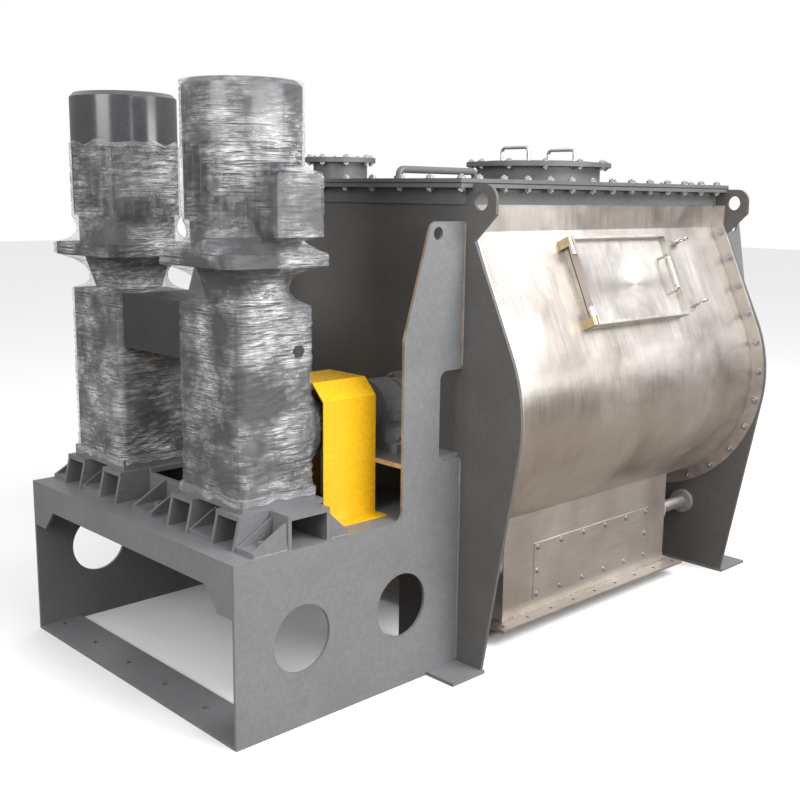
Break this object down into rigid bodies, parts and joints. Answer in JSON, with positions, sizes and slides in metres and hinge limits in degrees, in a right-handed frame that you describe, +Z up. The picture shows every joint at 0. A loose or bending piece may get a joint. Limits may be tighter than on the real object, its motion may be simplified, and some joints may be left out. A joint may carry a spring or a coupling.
{
  "type": "twin-shaft ribbon blender",
  "caption": "Twin-shaft ribbon blender: a W-shaped stainless trough on end plates, with vertical gearmotors on a welded drive base, a bolted lid, an inspection door and a discharge box.",
  "frame": {"origin": "on the floor under the middle of the whole machine", "axes": "+X along the shafts from the drive end to the far end, -Y the side of the inspection door, +Z up"},
  "size_m": [2.677, 1.726, 1.87],
  "materials": {
    "frame_paint": "satin grey paint",
    "plate_paint": "satin warm grey paint",
    "pedestal_paint": "satin light grey paint",
    "lid_paint": "satin blue-grey paint",
    "stainless_shell": "brushed, with hand marks",
    "flange_steel": "blasted",
    "fastener_zinc": "zinc plated",
    "handle_steel": "polished",
    "hinge_brass": "satin",
    "seal_rubber": "matte",
    "shaft_steel": "turned",
    "coupling_paint": "painted",
    "bearing_cast": "painted grey",
    "gearbox_cast": "dark grey paint",
    "motor_cast": "dark grey paint",
    "fan_plastic": "moulded",
    "guard_yellow": "gloss yellow paint"
  },
  "bodies": {
    "machine": {"base_deck": "frame_paint", "base_side_front": "frame_paint", "base_side_back": "frame_paint", "base_cross_plate": "frame_paint", "far_gussets": "frame_paint", "leg_foot_plates": "frame_paint", "drive_end_plate": "plate_paint", "far_end_plate": "plate_paint", "bearing_shelves": "plate_paint", "gearbox_pedestal": "pedestal_paint", "pedestal_feet": "pedestal_paint", "gearbox_base_plates": "pedestal_paint", "mouth_flange": "lid_paint", "lid_plate": "lid_paint", "inlet_port": "lid_paint", "inlet_cover": "lid_paint", "manhole_neck": "lid_paint", "manhole_cover": "lid_paint", "lid_pipe": "lid_paint", "trough_shell": "stainless_shell", "discharge_box": "stainless_shell", "access_cover": "stainless_shell", "door_frame": "stainless_shell", "shell_flanges": "flange_steel", "discharge_flange": "flange_steel", "pedestal_bolts": "fastener_zinc", "shell_flange_bolts": "fastener_zinc", "lid_bolts": "fastener_zinc", "cover_bolts": "fastener_zinc", "manhole_handles": "handle_steel", "door_hinges": "hinge_brass", "lid_gasket": "seal_rubber", "door_gasket": "seal_rubber", "pillow_blocks": "bearing_cast", "stuffing_boxes": "bearing_cast", "flap_bearings": "bearing_cast", "flap_actuators": "bearing_cast", "gearbox_front": "gearbox_cast", "gearbox_back": "gearbox_cast", "sync_gear_case": "gearbox_cast", "motor_front": "motor_cast", "motor_back": "motor_cast", "fan_cowls": "motor_cast", "terminal_boxes": "motor_cast", "coupling_guards": "guard_yellow"},
    "agitator_front": {"agitator_shaft_front": "shaft_steel", "coupling_front": "coupling_paint", "ribbon_front": "shaft_steel"},
    "agitator_back": {"agitator_shaft_back": "shaft_steel", "coupling_back": "coupling_paint", "ribbon_back": "shaft_steel"},
    "sync_shaft": {"sync_shaft": "shaft_steel"},
    "fan_front": {"fan_front": "fan_plastic"},
    "fan_back": {"fan_back": "fan_plastic"},
    "door": {"door_panel": "stainless_shell", "door_handle": "handle_steel"},
    "eye_screw_top": {"eye_screw_top": "handle_steel"},
    "eye_screw_bottom": {"eye_screw_bottom": "handle_steel"},
    "flap_front": {"discharge_flap_front": "stainless_shell"},
    "flap_back": {"discharge_flap_back": "stainless_shell"}
  },
  "joints": [
    {"name": "agitator_front_spin", "type": "hinge", "parent": "machine", "child": "agitator_front", "pos_m": [0, -0.333, 0.85], "axis": [1, 0, 0], "continuous": true},
    {"name": "agitator_back_spin", "type": "hinge", "parent": "machine", "child": "agitator_back", "pos_m": [0, 0.333, 0.85], "axis": [1, 0, 0], "continuous": true},
    {"name": "sync_shaft_spin", "type": "hinge", "parent": "machine", "child": "sync_shaft", "pos_m": [-1.1305, 0, 1.15], "axis": [0, 1, 0], "continuous": true},
    {"name": "fan_front_spin", "type": "hinge", "parent": "machine", "child": "fan_front", "pos_m": [-1.0895, -0.333, 1.75], "axis": [0, 0, 1], "continuous": true},
    {"name": "fan_back_spin", "type": "hinge", "parent": "machine", "child": "fan_back", "pos_m": [-1.0895, 0.333, 1.75], "axis": [0, 0, 1], "continuous": true},
    {"name": "door_swing", "type": "hinge", "parent": "machine", "child": "door", "pos_m": [0.0395, -0.71088, 1.27717], "axis": [0, -0.4147, -0.91], "range_deg": [0, 110]},
    {"name": "eye_screw_top_turn", "type": "hinge", "parent": "door", "child": "eye_screw_top", "pos_m": [0.6835, -0.65491, 1.38793], "axis": [0, -0.91, 0.4147], "continuous": true},
    {"name": "eye_screw_bottom_turn", "type": "hinge", "parent": "door", "child": "eye_screw_bottom", "pos_m": [0.6835, -0.75775, 1.16226], "axis": [0, -0.91, 0.4147], "continuous": true},
    {"name": "flap_front_swing", "type": "hinge", "parent": "machine", "child": "flap_front", "pos_m": [0, -0.525, 0.272], "axis": [-1, 0, 0], "range_deg": [0, 55]},
    {"name": "flap_back_swing", "type": "hinge", "parent": "machine", "child": "flap_back", "pos_m": [0, 0.525, 0.272], "axis": [1, 0, 0], "range_deg": [0, 55]}
  ],
  "couplings": [
    {"joint": "agitator_back_spin", "follows": "agitator_front_spin", "ratio": -1},
    {"joint": "sync_shaft_spin", "follows": "agitator_front_spin", "ratio": 4},
    {"joint": "fan_front_spin", "follows": "agitator_front_spin", "ratio": 32},
    {"joint": "fan_back_spin", "follows": "agitator_front_spin", "ratio": -32},
    {"joint": "flap_back_swing", "follows": "flap_front_swing", "ratio": 1}
  ]
}
